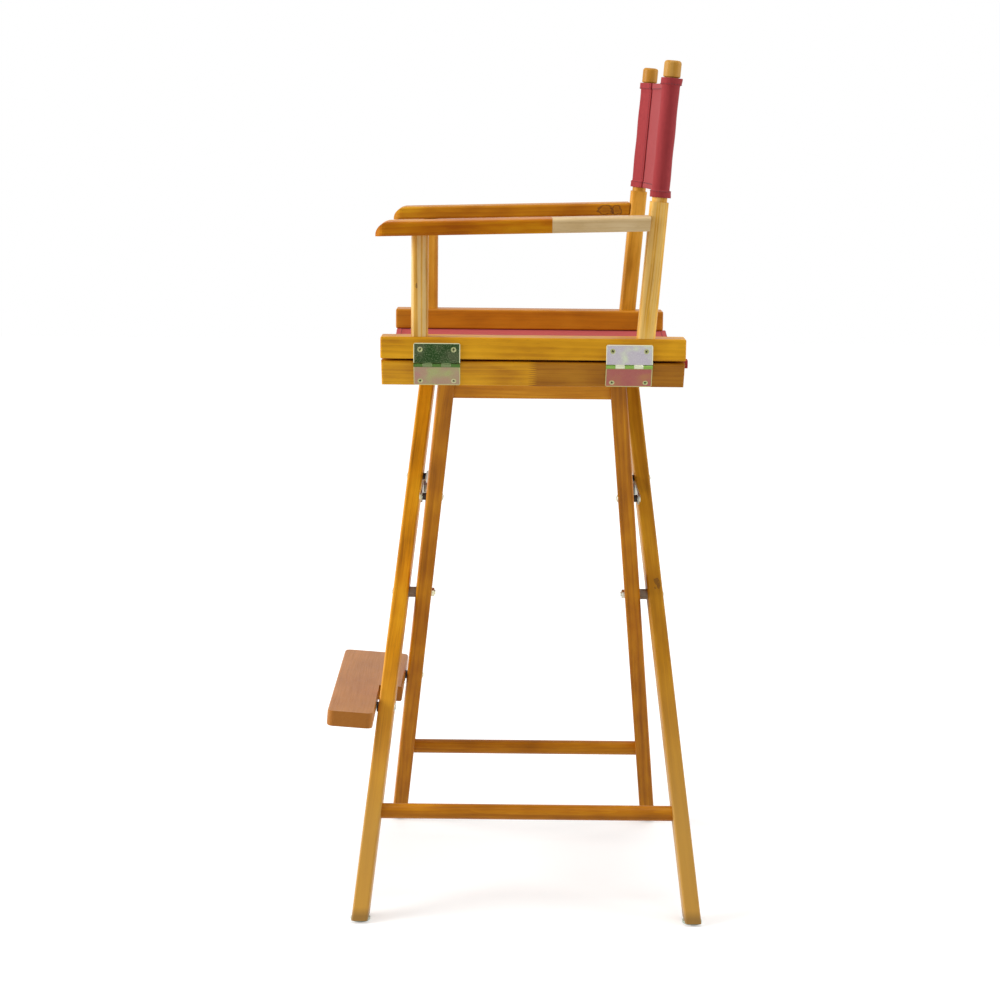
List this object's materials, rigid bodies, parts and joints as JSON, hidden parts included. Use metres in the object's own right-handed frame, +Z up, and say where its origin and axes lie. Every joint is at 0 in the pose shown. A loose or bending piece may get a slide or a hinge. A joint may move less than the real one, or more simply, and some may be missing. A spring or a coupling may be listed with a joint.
{
  "type": "folding chair",
  "caption": "Tall folding director's chair: crossed splayed wooden legs, hinged arm frames, canvas seat and back, steel brace strips and a lift-up footrest plank.",
  "frame": {"origin": "on the floor, under the middle of the chair's overall box", "axes": "+Z up, the sitter faces -Y, +X is the sitter's left"},
  "size_m": [0.564, 0.5156, 1.1562],
  "materials": {
    "honey_wood": "satin lacquer",
    "brown_wood": "satin lacquer",
    "plank_wood": "satin lacquer",
    "red_canvas": "woven cotton canvas",
    "yellow_zinc": "iridescent yellow zinc plate",
    "bright_zinc": "bright zinc plate",
    "black_nylon": "moulded",
    "grey_nylon": "moulded",
    "glide_plastic": "moulded"
  },
  "bodies": {
    "outer_frame": {"outer_leg_front": "honey_wood", "outer_leg_rear": "honey_wood", "outer_seat_rail": "honey_wood", "outer_cross_rail": "brown_wood", "outer_stretcher": "brown_wood", "outer_glides": "glide_plastic", "outer_seat_rod": "bright_zinc", "outer_hinge_leaves": "yellow_zinc", "outer_hinge_pins": "yellow_zinc", "outer_leaf_screws": "yellow_zinc", "outer_brace_bolts": "bright_zinc", "outer_brace_spacers": "black_nylon", "pivot_bolts": "bright_zinc", "pivot_spacers": "grey_nylon", "pivot_nuts": "bright_zinc", "footrest_bolt": "bright_zinc", "footrest_washer": "black_nylon", "seat_canvas": "red_canvas"},
    "inner_frame": {"inner_leg_front": "brown_wood", "inner_leg_rear": "brown_wood", "inner_seat_rail": "honey_wood", "inner_cross_rail": "brown_wood", "inner_stretcher": "brown_wood", "inner_glides": "glide_plastic", "inner_seat_rod": "bright_zinc", "inner_hinge_leaves": "yellow_zinc", "inner_hinge_pins": "yellow_zinc", "inner_leaf_screws": "yellow_zinc", "inner_brace_bolts": "bright_zinc", "inner_brace_spacers": "black_nylon", "footrest_peg": "black_nylon", "footrest_peg_bolt": "bright_zinc"},
    "right_arm": {"right_arm_rail": "honey_wood", "right_front_post": "honey_wood", "right_rear_post": "honey_wood", "right_armrest": "honey_wood", "right_arm_leaves": "yellow_zinc", "right_arm_screws": "yellow_zinc", "back_canvas": "red_canvas"},
    "left_arm": {"left_arm_rail": "honey_wood", "left_front_post": "honey_wood", "left_rear_post": "honey_wood", "left_armrest": "honey_wood", "left_arm_leaves": "yellow_zinc", "left_arm_screws": "yellow_zinc"},
    "outer_brace_front": {"outer_strip_front": "bright_zinc"},
    "outer_brace_rear": {"outer_strip_rear": "bright_zinc"},
    "inner_brace_front": {"inner_strip_front": "bright_zinc"},
    "inner_brace_rear": {"inner_strip_rear": "bright_zinc"},
    "footrest": {"footrest_plank": "plank_wood"}
  },
  "joints": [
    {"name": "fold", "type": "hinge", "parent": "outer_frame", "child": "inner_frame", "pos_m": [0, 0.01829, 0.408], "axis": [0, -1, 0], "range_deg": [0, 55], "deforming": ["seat_canvas", "back_canvas"]},
    {"name": "right_arm_hinge", "type": "hinge", "parent": "outer_frame", "child": "right_arm", "pos_m": [-0.24027, 0.01829, 0.76088], "axis": [0, -1, 0], "range_deg": [0, 27.5]},
    {"name": "left_arm_hinge", "type": "hinge", "parent": "inner_frame", "child": "left_arm", "pos_m": [0.24027, 0.01829, 0.76088], "axis": [0, 1, 0], "range_deg": [0, 27.5]},
    {"name": "outer_brace_front_pivot", "type": "hinge", "parent": "outer_frame", "child": "outer_brace_front", "pos_m": [-0.08927, -0.12963, 0.562], "axis": [-0.0509, -0.9984, 0.0249], "range_deg": [0, 112.44]},
    {"name": "outer_brace_rear_pivot", "type": "hinge", "parent": "outer_frame", "child": "outer_brace_rear", "pos_m": [-0.08927, 0.16622, 0.562], "axis": [0.0509, -0.9984, -0.0249], "range_deg": [0, 112.44]},
    {"name": "inner_brace_front_pivot", "type": "hinge", "parent": "inner_frame", "child": "inner_brace_front", "pos_m": [0.08927, -0.13203, 0.562], "axis": [-0.0509, 0.9984, -0.0249], "range_deg": [0, 112.44]},
    {"name": "inner_brace_rear_pivot", "type": "hinge", "parent": "inner_frame", "child": "inner_brace_rear", "pos_m": [0.08927, 0.16862, 0.562], "axis": [0.0509, 0.9984, 0.0249], "range_deg": [0, 112.44]},
    {"name": "footrest_lift", "type": "hinge", "parent": "outer_frame", "child": "footrest", "pos_m": [0.08579, -0.19493, 0.26], "axis": [0, 1, 0], "range_deg": [0, 30]}
  ],
  "couplings": [
    {"joint": "right_arm_hinge", "follows": "fold", "ratio": 0.5},
    {"joint": "left_arm_hinge", "follows": "fold", "ratio": 0.5},
    {"joint": "outer_brace_front_pivot", "follows": "fold", "ratio": 2.0442},
    {"joint": "outer_brace_rear_pivot", "follows": "fold", "ratio": 2.0442},
    {"joint": "inner_brace_front_pivot", "follows": "fold", "ratio": 2.0442},
    {"joint": "inner_brace_rear_pivot", "follows": "fold", "ratio": 2.0442}
  ]
}
